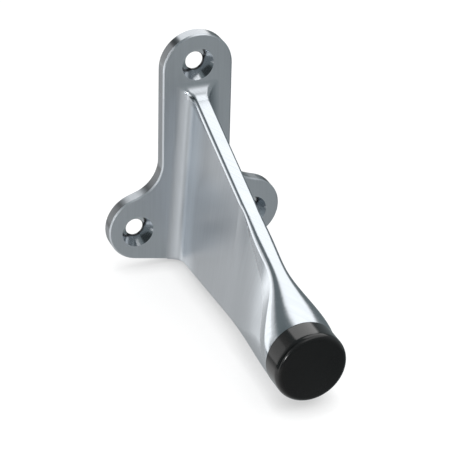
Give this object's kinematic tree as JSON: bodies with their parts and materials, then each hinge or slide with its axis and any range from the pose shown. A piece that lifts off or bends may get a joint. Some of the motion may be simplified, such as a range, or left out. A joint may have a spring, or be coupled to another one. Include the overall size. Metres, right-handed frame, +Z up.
{
  "type": "wall door stop",
  "caption": "Rigid wall door stop: a lobed back plate with countersunk screw holes, a tapered web that swells into a round boss, and a rubber bumper.",
  "frame": {"origin": "where the axis of the bumper meets the wall, on the back face of the plate", "axes": "-Y along the axis of the bumper, away from the wall; +Z up; +X to the right as seen from the room"},
  "size_m": [0.0628, 0.1016, 0.0847],
  "materials": {
    "metal": "satin, faintly brushed",
    "rubber": "smooth, slightly glossy"
  },
  "bodies": {
    "root": {"bracket": "metal", "rubber_bumper": "rubber"}
  },
  "joints": []
}
